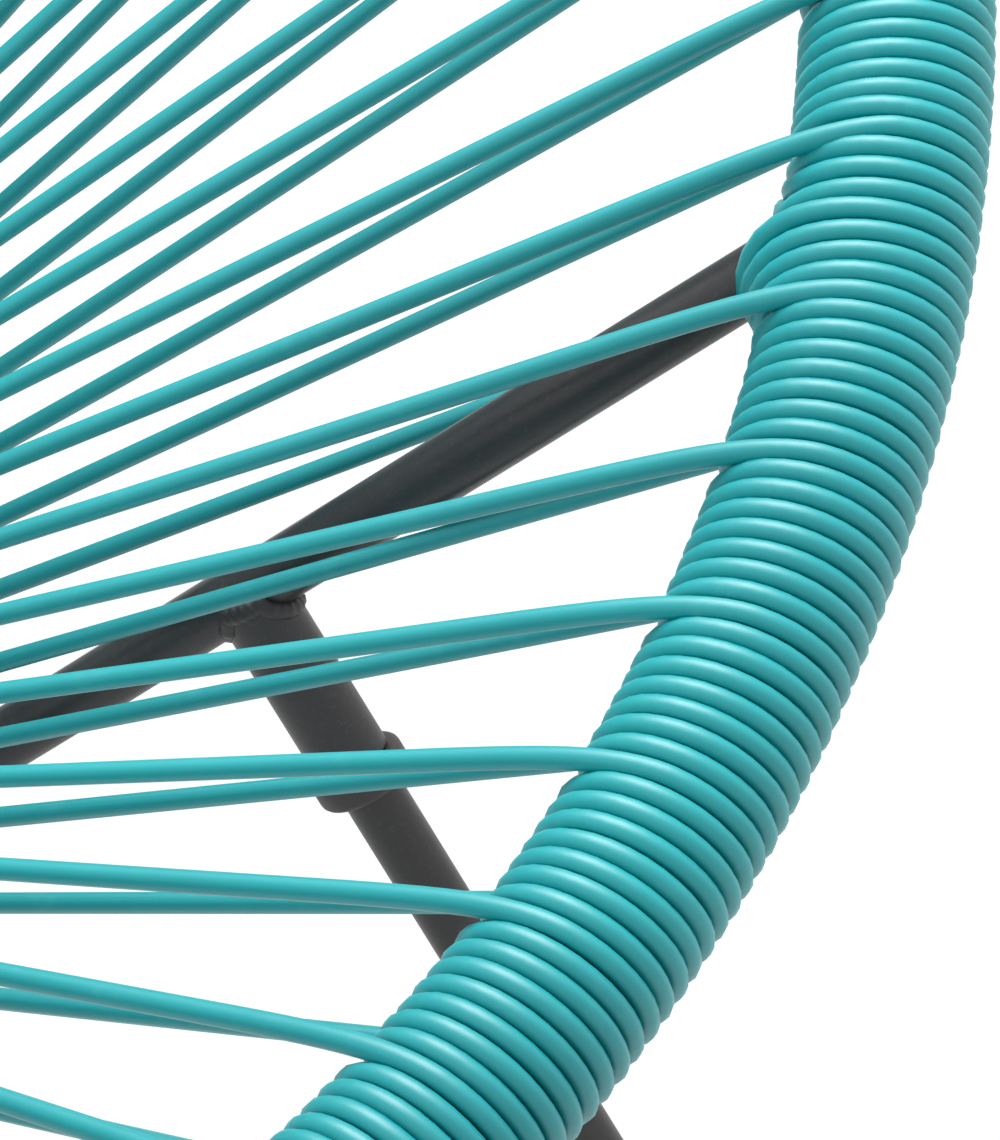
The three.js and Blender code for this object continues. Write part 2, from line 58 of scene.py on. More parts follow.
# %% Sizes
MM = 0.001
HOOP_SIDE, HOOP_FORE, HOOP_RISE = 382 * MM, 364 * MM, 225 * MM
SIDE_WAVES = (1, 0.0325, 0.059)
FORE_WAVES = (0.0707, -1, -0.0212, -0.0561)
RISE_WAVES = (1.2763, -1, 0.0802, -0.0969)
HOOP_TUBE = 28 * MM
SEAT_GAP = 0.3 * MM
RING_RADIUS, RING_ROD, RING_TILT = 80 * MM, 8 * MM, math.radians(22)
CORD = 4.3 * MM
PAIRS, TURNS = 74, 8
FIRST_PAIR, PAIR_SKEW = 0.9, 18 * MM
SUPPORT_TUBE, SUPPORT_WALL = 12.7 * MM, 1.2 * MM
SPINE_DROP, SPINE_FRONT, SPINE_BACK = 100 * MM, 19 * MM, 42 * MM
WINDING = HOOP_TUBE / 2 + SEAT_GAP + CORD / 2
RING_WRAP = RING_ROD / 2 + SEAT_GAP + CORD / 2
ring_low, ring_high = (Vector(corner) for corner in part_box("centre_ring"))
RING = (ring_low + ring_high) / 2
print("ring middle:", [round(value, 4) for value in RING], "winding radius:", round(WINDING, 5))

# %% [markdown]
# ## The hoop's line
#
# The rim is an egg-shaped bent tube. A short sum of sines and cosines gives its line, and a table of
# lengths turns a distance along the tube into a place on it. At each place three directions matter:
# along the tube, inward to the centre ring, and upward to the sitter's side.

# %% The line and its stations
def hoop_point(angle):
    side = sum(wave * math.sin((n + 1) * angle) for n, wave in enumerate(SIDE_WAVES))
    fore = sum(wave * math.cos(n * angle) for n, wave in enumerate(FORE_WAVES))
    rise = sum(wave * math.cos(n * angle) for n, wave in enumerate(RISE_WAVES))
    return RING + Vector((HOOP_SIDE * side, HOOP_FORE * fore, HOOP_RISE * rise))


LENGTH_STEPS, ANGLE_STEP = 1480, 1e-3
hoop_line = [hoop_point(2 * math.pi * n / LENGTH_STEPS) for n in range(LENGTH_STEPS + 1)]
lengths = [0.0]
for here, after in zip(hoop_line, hoop_line[1:]):
    lengths.append(lengths[-1] + (after - here).length)
HOOP_LENGTH = lengths[-1]
PAIR_STEP = HOOP_LENGTH / PAIRS
PITCH = PAIR_STEP / TURNS


def hoop_angle(distance):
    distance %= HOOP_LENGTH
    low, high = 0, LENGTH_STEPS
    while high - low > 1:
        middle = (low + high) // 2
        low, high = (middle, high) if lengths[middle] <= distance else (low, middle)
    share = (distance - lengths[low]) / (lengths[high] - lengths[low])
    return 2 * math.pi * (low + share) / LENGTH_STEPS


def station(distance):
    angle = hoop_angle(distance)
    centre = hoop_point(angle)
    along = (hoop_point(angle + ANGLE_STEP) - hoop_point(angle - ANGLE_STEP)).normalized()
    inward = RING - centre
    inward = (inward - along * inward.dot(along)).normalized()
    return centre, along, inward, along.cross(inward)


print("hoop length:", round(HOOP_LENGTH, 4), "pitch of the winding:", round(PITCH, 6))

# %% [markdown]
# ## Small helpers that turn routes and outlines into meshes
#
# Two shapes cover nearly the whole chair. A round thing that follows a line, such as the cord or a bent
# tube, is a curve with a round bevel that is then made a mesh. A round thing about an axis, such as a
# collar or a foot, is a half outline that is spun. Both give smooth, closed meshes with few faces.

# %% Pieces and their meshes
MERGE_REACH = 1e-6
SHARP_TURNED, SHARP_ROUTED = 35, 50


def piece(name, mesh, finish, slot, *nodes):
    obj = bpy.data.objects.new(name, mesh)
    bpy.context.scene.collection.objects.link(obj)
    mesh.materials.clear()
    mesh.materials.append(finish)
    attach(obj, "root")
    if nodes:
        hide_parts(*nodes)


def finished(bm, name, sharp=SHARP_TURNED):
    """The bmesh as a smooth mesh, with its closed seams merged and its sharp edges kept."""
    bmesh.ops.remove_doubles(bm, verts=bm.verts, dist=MERGE_REACH)
    bmesh.ops.recalc_face_normals(bm, faces=bm.faces)
    for face in bm.faces:
        face.smooth = True
    for edge in bm.edges:
        if len(edge.link_faces) == 2 and edge.calc_face_angle(0) > math.radians(sharp):
            edge.smooth = False
    mesh = bpy.data.meshes.new(name)
    bm.to_mesh(mesh)
    bm.free()
    return mesh


print("edges stay sharp over", SHARP_TURNED, "degrees, on routed shapes over", SHARP_ROUTED)

# %% [markdown]
# ### Cords and bent tubes
#
# The points become a curve with a round bevel, and the curve becomes a mesh. The bevel stays square to
# the line by itself, where an extruded circle would have to be turned at every point. A swell makes the
# round thicker or thinner along its way, as a weld bead is.

# %% Routed shapes
def routed(name, points, radius, fullness=3, closed=False, swell=None):
    """A round cord or tube along the points, as a mesh."""
    line = bpy.data.curves.new(name, "CURVE")
    line.dimensions = "3D"
    line.bevel_depth = radius
    line.bevel_resolution = fullness
    line.use_fill_caps = not closed
    spline = line.splines.new("POLY")
    spline.points.add(len(points) - 1)
    for n, (place, point) in enumerate(zip(spline.points, points)):
        place.co = (*point, 1)
        place.radius = swell[n] if swell else 1
    spline.use_cyclic_u = closed
    holder = bpy.data.objects.new(name, line)
    mesh = bpy.data.meshes.new_from_object(holder)
    bpy.data.objects.remove(holder)
    bm = bmesh.new()
    bm.from_mesh(mesh)
    bpy.data.meshes.remove(mesh)
    return finished(bm, name, SHARP_ROUTED)


print("routed shapes ready")

# %% [markdown]
# ### Turned parts
#
# A half outline in radius and height is spun a full turn, and its start and end are merged. The shape
# is then moved, so that its axis starts at one point and runs one way, and the object stays unturned.

# %% Turned shapes
def facing(origin, direction):
    return Matrix.Translation(origin) @ direction.to_track_quat("Z", "Y").to_matrix().to_4x4()


def turned(outline, origin, direction, steps=48):
    """A half outline of (radius, height) spun about an axis, as a bmesh."""
    bm = bmesh.new()
    corners = [bm.verts.new((radius, 0, height)) for radius, height in outline]
    edges = [bm.edges.new(ends) for ends in zip(corners, corners[1:] + corners[:1])]
    bmesh.ops.spin(bm, geom=corners + edges, cent=(0, 0, 0), axis=(0, 0, 1), angle=2 * math.pi,
                   steps=steps, use_merge=True, use_duplicate=False)
    bmesh.ops.transform(bm, matrix=facing(origin, direction), verts=bm.verts)
    return bm


print("turned shapes ready")

# %% [markdown]
# ## Finishes as arithmetic
#
# Each finish is a node material. So that it reads like a recipe, a Signal wraps a node's output and
# lets plain arithmetic add the Math nodes, and one method makes every other node.

# %% The signal
class Signal:
    def __init__(self, recipe, socket):
        self.recipe, self.socket = recipe, socket

    def math(self, operation, left, right):
        return self.recipe.node("Math", {"operation": operation}, (left, right))

    def __add__(self, other): return self.math("ADD", self, other)
    def __radd__(self, other): return self.math("ADD", other, self)
    def __mul__(self, other): return self.math("MULTIPLY", self, other)
    def __rmul__(self, other): return self.math("MULTIPLY", other, self)


print("signal ready")

# %% [markdown]
# ### The recipe
#
# A recipe holds one material. Its node method makes any node and sets or links its sockets. The other
# methods are what the finishes share: noise in the object's own coordinates, a range that is held
# between 0 and 1, a blend of two colours, and a bump.

# %% The recipe
class Recipe:
    def __init__(self, name):
        self.material = bpy.data.materials.new(name)
        self.material.use_nodes = True
        self.tree = self.material.node_tree
        self.shader = self.tree.nodes["Principled BSDF"]
        self.output = self.tree.nodes["Material Output"]

    def feed(self, socket, value):
        if isinstance(value, Signal):
            self.tree.links.new(value.socket, socket)
        else:
            socket.default_value = value

    def node(self, kind, settings=(), inputs=(), out=0):
        made = self.tree.nodes.new("ShaderNode" + kind)
        for key, value in dict(settings).items():
            setattr(made, key, value)
        pairs = inputs.items() if isinstance(inputs, dict) else enumerate(inputs)
        for key, value in pairs:
            self.feed(made.inputs[key], value)
        return Signal(self, made.outputs[out])

    def place(self, stretch=(1, 1, 1)):
        spot = self.node("TexCoord", out="Object")
        return self.node("Mapping", {"vector_type": "POINT"}, {"Vector": spot, "Scale": stretch})

    def cloud(self, size, detail=3, rough=0.5, stretch=(1, 1, 1)):
        settings = {"Vector": self.place(stretch), "Scale": 1 / size, "Detail": detail, "Roughness": rough}
        return self.node("TexNoise", {"noise_dimensions": "3D"}, settings)

    def between(self, signal, low, high):
        return self.node("MapRange", {"clamp": True}, {"Value": signal, "From Min": low, "From Max": high})

    def blend(self, factor, first, second):
        return self.node("Mix", {"data_type": "RGBA"}, {0: factor, 6: first, 7: second}, out=2)

    def bump(self, height, depth, strength=1.0):
        made = self.node("Bump", inputs={"Height": height, "Distance": depth, "Strength": strength})
        self.feed(self.shader.inputs["Normal"], made)

    def surface(self, **values):
        for name, value in values.items():
            self.feed(self.shader.inputs[name.replace("_", " ")], value)


def shade(red, green, blue):
    """An ordinary screen colour from 0 to 255 as the linear one that a shader takes."""
    values = [value / 255 for value in (red, green, blue)]
    return (*(v / 12.92 if v <= 0.04045 else ((v + 0.055) / 1.055) ** 2.4 for v in values), 1)


print("recipe ready")

# %% [markdown]
# ### PVC cord
#
# The cord is extruded PVC, coloured all through, with a satin skin. Its teal shifts a little from stretch
# to stretch, and rubbed places are paler and duller. Extrusion leaves a faint ripple, so the highlight
# isn't a clean line. All of it is made from noise in the object's own coordinates. A thin rough coat
# over the skin gives the broad soft highlight without making the shaded side pale.

# %% Teal cord
DRIFT_SIZE, RIPPLE_SIZE, GRAIN_SIZE, RUB_SIZE = 90 * MM, 2.4 * MM, 0.4 * MM, 12 * MM
DEEP_TEAL, FULL_TEAL, RUBBED_TEAL = shade(0, 147, 153), shade(2, 157, 162), shade(96, 190, 192)
SATIN, UNEVEN_GLOSS, RUB_SHARE, SKIN_DEPTH = 0.42, 0.1, 0.2, 0.06 * MM

cord_recipe = Recipe("teal pvc cord")
drift = cord_recipe.cloud(DRIFT_SIZE, 2)
ripple = cord_recipe.cloud(RIPPLE_SIZE, 2, 0.6)
grain = cord_recipe.cloud(GRAIN_SIZE, 2, 0.7)
rub = cord_recipe.between(cord_recipe.cloud(RUB_SIZE, 5, 0.65), 0.58, 0.78)
teal = cord_recipe.blend(cord_recipe.between(drift, 0.3, 0.7), DEEP_TEAL, FULL_TEAL)
teal = cord_recipe.blend(rub * RUB_SHARE, teal, RUBBED_TEAL)
cord_recipe.surface(Base_Color=teal, Roughness=SATIN + UNEVEN_GLOSS * ripple + UNEVEN_GLOSS * rub,
                    Specular_IOR_Level=0.65, Coat_Weight=0.4, Coat_Roughness=0.52)
cord_recipe.bump(ripple * 0.7 + grain * 0.3, SKIN_DEPTH, 0.6)
cord_finish = cord_recipe.material
print("finish:", cord_finish.name)

# %% [markdown]
# ### Powder-coated steel, weld, rubber and zinc
#
# The tubes have a charcoal powder coat: nearly black, satin, with the fine orange peel of melted powder
# and a few chalky rubs. The welds carry the same coat over a rippled bead, and on the collars it is worn.
# The foot caps are dull black rubber with a little dust, and the screws are zinc-plated with a brushed
# grain. Coat, bead, collar and rubber differ only in shade, peel and dullness, so one function makes all.

# %% Charcoal coat and rubber
PATCH_SIZE, SPECK_SIZE, CHALK_SIZE, PEEL_SIZE = 30 * MM, 1.1 * MM, 6 * MM, 1.3 * MM
CHALK_GREY, SPECK_SHARE, CHALK_SHARE = shade(118, 112, 110), 0.12, 0.25
PATCH_DULLS, CHALK_DULLS = 0.1, 0.14


def coat(name, dark, light, peel, dull):
    recipe = Recipe(name)
    patch = recipe.between(recipe.cloud(PATCH_SIZE, 4, 0.6), 0.35, 0.7)
    speck = recipe.between(recipe.cloud(SPECK_SIZE, 3, 0.7), 0.55, 0.75)
    chalk = recipe.between(recipe.cloud(CHALK_SIZE, 6, 0.7), 0.62, 0.8)
    colour = recipe.blend(patch, dark, light)
    colour = recipe.blend(speck * SPECK_SHARE + chalk * CHALK_SHARE, colour, CHALK_GREY)
    recipe.surface(Base_Color=colour, Roughness=dull + PATCH_DULLS * patch + CHALK_DULLS * chalk,
                   Specular_IOR_Level=0.45)
    recipe.bump(recipe.cloud(PEEL_SIZE, 3, 0.6), peel, 0.8)
    return recipe.material


steel_finish = coat("charcoal powder coat", shade(43, 42, 44), shade(53, 52, 53), 0.09 * MM, 0.36)
weld_finish = coat("coated weld bead", shade(42, 40, 42), shade(54, 51, 52), 0.2 * MM, 0.46)
collar_finish = coat("worn collar coat", shade(58, 54, 53), shade(74, 69, 67), 0.1 * MM, 0.5)
rubber_finish = coat("black rubber", shade(22, 22, 23), shade(33, 32, 32), 0.12 * MM, 0.68)
print("finishes:", steel_finish.name, weld_finish.name, collar_finish.name, rubber_finish.name)

# %% Zinc plate
BRUSH_SIZE, BRUSH_STRETCH, BRUSH_DEPTH = 0.8 * MM, (1, 1, 6), 0.04 * MM
zinc_recipe = Recipe("zinc plate")
brushed = zinc_recipe.cloud(BRUSH_SIZE, 3, 0.6, BRUSH_STRETCH)
zinc_recipe.surface(
    Base_Color=zinc_recipe.blend(brushed, shade(150, 153, 156), shade(188, 190, 190)),
    Metallic=1.0, Roughness=0.28 + 0.2 * brushed)
zinc_recipe.bump(brushed, BRUSH_DEPTH, 0.5)
zinc_finish = zinc_recipe.material
print("finish:", zinc_finish.name)

# %% [markdown]
# ## The support tubes' routes
#
# Each support tube starts at a weld on the hoop's inner side and dives under the strings to the spine.
# The route has to be known before the cord is wound, because the turns part round each weld. The
# curve is the usual one through its points, with knots spaced by the root of their distance.

# %% Routes of the four support tubes
FRONT_WELD, REAR_WELD = 0.15916, 0.30216
FRONT_PLAN = ((0.82, 0.935), (0.685, 0.771), (0.497, 0.662), (0.264, 0.547))
FRONT_RISE = (0.832, 0.628, 0.425, 0.206)
REAR_PLAN = ((0.77, 0.86), (0.61, 0.75), (0.43, 0.66), (0.22, 0.64))
REAR_RISE = (0.81, 0.56, 0.34, 0.15)
FRONT_END, REAR_END = 0.424, 0.64
SPINE_HEIGHT = RING.z - SPINE_DROP
ROUTE_STEPS = 14


def smooth_route(points):
    route = []
    ends = [2 * points[0] - points[1], *points, 2 * points[-1] - points[-2]]
    for first, here, after, last in zip(ends, ends[1:], ends[2:], ends[3:]):
        gaps = [math.sqrt((b - a).length) for a, b in ((first, here), (here, after), (after, last))]
        leave = ((here - first) / gaps[0] - (after - first) / (gaps[0] + gaps[1])) * gaps[1] + (after - here)
        arrive = ((last - after) / gaps[2] - (last - here) / (gaps[1] + gaps[2])) * gaps[1] + (after - here)
        for n in range(ROUTE_STEPS):
            t = n / ROUTE_STEPS
            route.append(here + leave * t + (3 * (after - here) - 2 * leave - arrive) * t * t
                         + (2 * (here - after) + leave + arrive) * t * t * t)
    return route + [points[-1]]


def support_route(share, plan, rises, end, side):
    weld = station(share * HOOP_LENGTH)[0] - Vector((0, RING.y, 0))
    points = [weld.copy()]
    for (across, fore), rise in zip(plan, rises):
        height = SPINE_HEIGHT + (weld.z - SPINE_HEIGHT) * rise
        points.append(Vector((weld.x * across, weld.y * fore, height)))
    points.append(Vector((0, weld.y * end, SPINE_HEIGHT)))
    return smooth_route([Vector((side * p.x, p.y + RING.y, p.z)) for p in points])


SUPPORTS = {
    "front_support_right": support_route(FRONT_WELD, FRONT_PLAN, FRONT_RISE, FRONT_END, 1),
    "front_support_left": support_route(FRONT_WELD, FRONT_PLAN, FRONT_RISE, FRONT_END, -1),
    "rear_support_right": support_route(REAR_WELD, REAR_PLAN, REAR_RISE, REAR_END, 1),
    "rear_support_left": support_route(REAR_WELD, REAR_PLAN, REAR_RISE, REAR_END, -1),
}


print("support tubes:", len(SUPPORTS), "with", len(SUPPORTS["rear_support_left"]), "points each")

# %% [markdown]
# ### Where the tubes come out of the winding
#
# A tube leans, so it comes out of the winding a little beside its weld, and there the turns part. A point
# of its route that is clear of the cord is set against the hoop's own directions. The place on the hoop
# next to that point is found in a few rounds, and gives the angle round the hoop too.

# %% Outlets
OUTLET_ROUNDS = 3


def weld_place(route, share):
    """Where a tube is welded to the hoop, where it comes out of the winding, and at what angle."""
    distance = share * HOOP_LENGTH if route[0].x > 0 else (1 - share) * HOOP_LENGTH
    clear = next(point for point in route if (point - route[0]).length > WINDING + CORD)
    outlet = distance
    for _ in range(OUTLET_ROUNDS):
        centre, along, inward, upper = station(outlet)
        outlet += (clear - centre).dot(along)
    return distance, outlet, math.atan2((clear - centre).dot(upper), (clear - centre).dot(inward))


welds = [weld_place(route, FRONT_WELD if name.startswith("front") else REAR_WELD)
         for name, route in SUPPORTS.items()]
for name, (distance, outlet, angle) in zip(SUPPORTS, welds):
    print(name, "welded at", round(distance, 4), "comes out at", round(outlet, 4),
          "turned", round(math.degrees(angle), 1), "degrees")

# %% [markdown]
# ## The cord's route
#
# One cord does all the work. It winds round the hoop, leaves from the underside, passes under the
# centre ring, comes back over it and lands on top of the hoop, where the next turns start.
# Each straight run is tangent to both rounds, which gives the angle at which it leaves each of them.

# %% The ring's own directions
RING_ACROSS = Vector((1, 0, 0))
RING_BACK = Vector((0, math.cos(RING_TILT), math.sin(RING_TILT)))
RING_NORMAL = RING_ACROSS.cross(RING_BACK)
RING_STEPS, TURN_STEPS = 10, 30


def pair_distance(pair):
    return (pair + FIRST_PAIR) * PAIR_STEP


def round_ring(angle, roll, radius):
    outward = RING_ACROSS * math.cos(angle) + RING_BACK * math.sin(angle)
    return RING + outward * (RING_RADIUS + radius * math.cos(roll)) + RING_NORMAL * (radius * math.sin(roll))


def leaving(away, first, second, radius, side):
    """The angle about a round at which a taut run towards a far point leaves it."""
    a, b = away.dot(first), away.dot(second)
    return math.atan2(b, a) + side * math.acos(radius / math.hypot(a, b))


print("ring tilted", round(math.degrees(RING_TILT)), "degrees, normal", [round(v, 3) for v in RING_NORMAL])

# %% [markdown]
# ## Turns that give way at a weld
#
# A support tube leaves the hoop in the middle of the winding. There the turns part as water does round a
# post: the flow round a cylinder says how far each one is pushed aside, found by halving. Two to six
# turns away the push fades out. The nearest turns also climb up the tube's root, more on the side where
# it leans over them, because there isn't room for them side by side.

# %% Parted turns
POST = SUPPORT_TUBE / 2 + CORD / 2
FLOW_REACH, HALVINGS, NEVER_ZERO = 16 * CORD, 24, 1e-12
CALM_FROM, CALM_OVER = 2 * PITCH, 4 * PITCH
CLIMB, CLIMB_REACH = 7.5 * MM, 20 * MM
LEANING_SIDE, OPEN_SIDE = (CLIMB, 3.4), (0.2 * CLIMB, 1)


def parted(distance, angle):
    """Where a turn really runs, and how far it is lifted, next to a weld."""
    lift = 0
    for weld_distance, outlet, weld_angle in welds:
        offset = (distance - outlet + HOOP_LENGTH / 2) % HOOP_LENGTH - HOOP_LENGTH / 2
        if abs(offset) > FLOW_REACH:
            continue
        turned_by = (angle - weld_angle + math.pi) % (2 * math.pi) - math.pi
        around = WINDING * turned_by
        offset -= PITCH * turned_by / (2 * math.pi)
        sign, wanted = (1, offset) if offset >= 0 else (-1, -offset)
        low, high = 0, wanted + 2 * POST
        for _ in range(HALVINGS):
            middle = (low + high) / 2
            flow = middle * (1 - POST ** 2 / (middle ** 2 + around ** 2 + NEVER_ZERO))
            low, high = (middle, high) if flow < wanted else (low, middle)
        calm = min(max((wanted - CALM_FROM) / CALM_OVER, 0), 1)
        distance += sign * (high - wanted) * (1 - calm * calm * (3 - 2 * calm))
        climb, spread = LEANING_SIDE if offset * (outlet - weld_distance) > 0 else OPEN_SIDE
        lift += climb * math.exp(-(wanted / (spread * PITCH)) ** 2) * math.exp(-(around / CLIMB_REACH) ** 2)
    return distance, lift


print("turns part over", round(CALM_FROM + CALM_OVER, 4), "m and climb by up to", CLIMB, "m")

# %% [markdown]
# ### The pull of a hand
#
# The chair is wound by hand, so no two turns lie quite alike. Smooth noise moves each point a little
# along the hoop and in height, by less than a twentieth of the cord's thickness, so that neighbours stay
# side by side.

# %% Points of the winding
PULL_WAVE, PULL_TURNS, PULL_SEED = 61, 9, 0.3
PULL_ASIDE, PULL_UP, PULL_UP_WAVE = 0.16 * MM, 0.1 * MM, 1.7


def wound(distance, angle):
    """A point of the winding, with the small unevenness of a hand's pull."""
    place, lift = parted(distance, angle)
    uneven = Vector((place * PULL_WAVE, angle / PULL_TURNS, PULL_SEED))
    place += PULL_ASIDE * noise.noise(uneven)
    radius = WINDING + lift + PULL_UP * noise.noise(uneven * PULL_UP_WAVE)
    centre, _, inward, upper = station(place)
    return centre + (inward * math.cos(angle) + upper * math.sin(angle)) * radius


print("turns stray by up to", PULL_ASIDE, "m along the hoop and", PULL_UP, "m in height")

# %% [markdown]
# ## Strings that land on the rim
#
# A taut thread would touch the rim on its tangent. PVC cord is stiff, so it leaves the rim earlier, bows
# outward and settles into its straight line over a few centimetres, which stands off the rim. Its slope
# fades as a falling exponential, and the sums below are the first terms of that curve's exact lengths.
# The curve starts with the slope and sideways drift of the winding, so the two join without a kink.

# %% The landing curve
BEND = 10 * MM
SETTLE = BEND / WINDING
LANDING_STEPS, LANDING_REACH, LANDING_CROWDING = 12, 46 * MM, 1.5


def sag(slope):
    """How far a stiff cord that still slopes this much is from the line that it settles into."""
    return BEND * (slope - slope ** 3 / 18 + slope ** 5 / 600)


STANDOFF = WINDING * math.cos(SETTLE) + sag(SETTLE)


def landing(distance, far, side, turns_before):
    """The curve from the rim's winding to a far point, and the angles of its line and its contact."""
    centre, along, inward, upper = station(distance)
    away = far - centre
    rim = leaving(away, inward, upper, WINDING, side)
    line = leaving(away, inward, upper, STANDOFF, side)
    contact = line + side * SETTLE
    out = inward * math.cos(line) + upper * math.sin(line)
    onward = (inward * math.sin(line) - upper * math.cos(line)) * side
    start = -WINDING * math.sin(SETTLE)
    length = away.dot(onward) - start + BEND * SETTLE ** 2 / 4
    drift = away.dot(along) / (length - BEND)
    helix = PITCH * (contact - rim) / (2 * math.pi)
    ideal = centre + out * (STANDOFF - sag(SETTLE)) + onward * start + along * helix
    nudge = wound(distance + helix, contact + 2 * math.pi * turns_before) - ideal
    points = []
    for n in range(1, LANDING_STEPS + 1):
        s = LANDING_REACH * (n / LANDING_STEPS) ** LANDING_CROWDING
        fade = math.exp(-s / BEND)
        slope = SETTLE * fade
        forth = start + s - BEND * (SETTLE ** 2 - slope ** 2) / 4
        sideways = helix * fade + drift * (s - BEND * (1 - fade))
        here = centre + out * (STANDOFF - sag(slope)) + onward * forth + along * sideways
        points.append(here + nudge * fade)
    return points, rim, contact


print("strings stand", round(STANDOFF - WINDING, 5), "m off the rim")

# %% [markdown]
# ## One cord pair
#
# A pair is one stretch of cord: from the rim's underside to the ring, round its rod with a step
# sideways, and back to the rim's top. All the pairs are worked out first, because the turns between two
# pairs need to know at what angles the strings on both sides of them leave the rim.

# %% Cord pairs
def pair_route(pair):
    turn_to = ((pair + FIRST_PAIR) / PAIRS) * 2 * math.pi - math.pi / 2
    turn_from = turn_to - PAIR_SKEW / RING_RADIUS
    under_end = (turn_from, pair_distance(pair) - PITCH / 2, -1)
    over_end = (turn_to, pair_distance(pair), 1)
    ends = []
    for angle, distance, side in (under_end, over_end):
        centre = station(distance)[0]
        outward = RING_ACROSS * math.cos(angle) + RING_BACK * math.sin(angle)
        roll = leaving(centre - round_ring(angle, 0, 0), outward, RING_NORMAL, RING_WRAP, side)
        run = landing(distance, round_ring(angle, roll, RING_WRAP), side, 0 if side > 0 else TURNS)
        ends.append((angle, roll + (2 * math.pi if side < 0 else 0), run))
    (angle_a, roll_a, (under, *rim_in)), (angle_b, roll_b, (over, *rim_out)) = ends
    points = list(under)
    for n in range(RING_STEPS + 1):
        t = n / RING_STEPS
        angle, roll = angle_a + (angle_b - angle_a) * t, roll_a + (roll_b - roll_a) * t
        points.append(round_ring(angle, roll, RING_WRAP))
    points.extend(reversed(over))
    return points, rim_in, rim_out


pair_routes = [pair_route(pair) for pair in range(PAIRS + 1)]
print("pairs routed:", len(pair_routes) - 1)

# %% [markdown]
# ## The winding, sector by sector
#
# Between two pairs the cord goes round the hoop about seven and a half times, and a pair takes up the
# room of half a turn, so the pairs stand eight turns apart. The cord is cut into the same ten sectors as
# the solids, and each sector takes the place of its own solid. The table gives a sector's first pair, its
# number of pairs, and the turns that it has before its first pair and leaves out before the next
# sector's, both counted to where a pair's front string lands.

# %% Turns between two pairs
HALF_TURN = 0.5


def wind(points, pair, begin=None, turns=None):
    """The turns after a pair, from begin to turns, counted from where its front string lands."""
    whole = TURNS - HALF_TURN
    rim_out, contact_out = pair_routes[pair % PAIRS][2]
    rim_in, contact_in = pair_routes[(pair + 1) % PAIRS][1]
    span = rim_in + 2 * math.pi * TURNS - rim_out
    first = (contact_out - rim_out) / span if begin is None else begin / whole
    last = 1 + (contact_in - rim_in) / span if turns is None else turns / whole
    steps = round(TURN_STEPS * TURNS * (last - first))
    for n in range(steps + 1):
        share = first + (last - first) * n / steps
        points.append(wound(pair_distance(pair) + PITCH * whole * share, rim_out + span * share))


def cord_route(first, count, start_turns, end_turns):
    points = []
    wind(points, first - 1, begin=TURNS - start_turns)
    for pair in range(first, first + count - 1):
        points.extend(pair_routes[pair][0])
        wind(points, pair)
    points.extend(pair_routes[first + count - 1][0])
    wind(points, first + count - 1, turns=TURNS - end_turns)
    return points


print("turns between pairs:", TURNS, "with", TURN_STEPS, "points each")

# %% The ten sectors
CORD_RUNS = {
    "seat_cord_front_right": (0, 7, 4.5, 1.5),
    "seat_cord_wound_turns": (7, 1, 1.5, 1.5),
    "seat_cord_right_side": (8, 9, 1.5, 4.5),
    "back_cord_right_lower": (17, 8, 4.5, 4.5),
    "back_cord_right_upper": (25, 8, 4.5, 4.5),
    "back_cord_top": (33, 8, 4.5, 4.5),
    "back_cord_left_upper": (41, 8, 4.5, 4.5),
    "back_cord_left_lower": (49, 8, 4.5, 4.5),
    "seat_cord_left_side": (57, 8, 4.5, 4.5),
    "seat_cord_front_left": (65, 9, 4.5, 4.5),
}
cord_length = 0
for node, run in CORD_RUNS.items():
    route = cord_route(*run)
    cord_length += sum((b - a).length for a, b in zip(route, route[1:]))
    mesh = routed(node + "_turns", route, CORD / 2)
    piece(node + "_turns", mesh, cord_finish, "pvc_cord", node)
    print(node, "points", len(route), "faces", len(mesh.polygons))
print("whole cord:", round(cord_length, 2), "m")

# %% [markdown]
# ## Hoop tube and centre ring
#
# The hoop tube shows only in slits between turns, but it has to be round there, so it is drawn along
# the same line as the cord. The ring is a bent rod, closed by one butt weld that stands a little proud.

# %% Hoop and ring
HOOP_STEPS, RING_ROD_STEPS = 240, 144
TUBE_FULLNESS, ROD_FULLNESS, BEAD_FULLNESS = 8, 6, 3
BUTT_SWELL, BUTT_ANGLE, BUTT_WIDTH = 0.06, 4.5, 0.03
hoop_route = [station(HOOP_LENGTH * n / HOOP_STEPS)[0] for n in range(HOOP_STEPS)]
hoop_mesh = routed("hoop_tube_bent", hoop_route, HOOP_TUBE / 2, TUBE_FULLNESS, closed=True)
piece("hoop_tube_bent", hoop_mesh, steel_finish, "powder_coated_steel", "hoop_tube")

ring_route, ring_swell = [], []
for n in range(RING_ROD_STEPS):
    angle = 2 * math.pi * n / RING_ROD_STEPS
    ring_route.append(round_ring(angle, 0, 0))
    ring_swell.append(1 + BUTT_SWELL * math.exp(-((angle - BUTT_ANGLE) / BUTT_WIDTH) ** 2))
ring_mesh = routed("centre_ring_rod", ring_route, RING_ROD / 2, ROD_FULLNESS, closed=True, swell=ring_swell)
piece("centre_ring_rod", ring_mesh, steel_finish, "powder_coated_steel", "centre_ring")
print("hoop faces", len(hoop_mesh.polygons), "ring faces", len(ring_mesh.polygons))

# %% [markdown]
# ## Support tubes, spine and welds
#
# Where two round tubes meet, the weld follows a saddle line, and its bead is a row of small ripples with
# larger lumps. The bead is a curve whose thickness swells and shrinks along its way.

# %% Weld bead
HOOP_BEAD, SPINE_BEAD = 1.5 * MM, 1.6 * MM
RIPPLE_POINTS, LEAST_SADDLE = 4, 0.12
LUMPS_ROUND, LUMP_SEED, LUMP_SHARE = 5, 500, 3


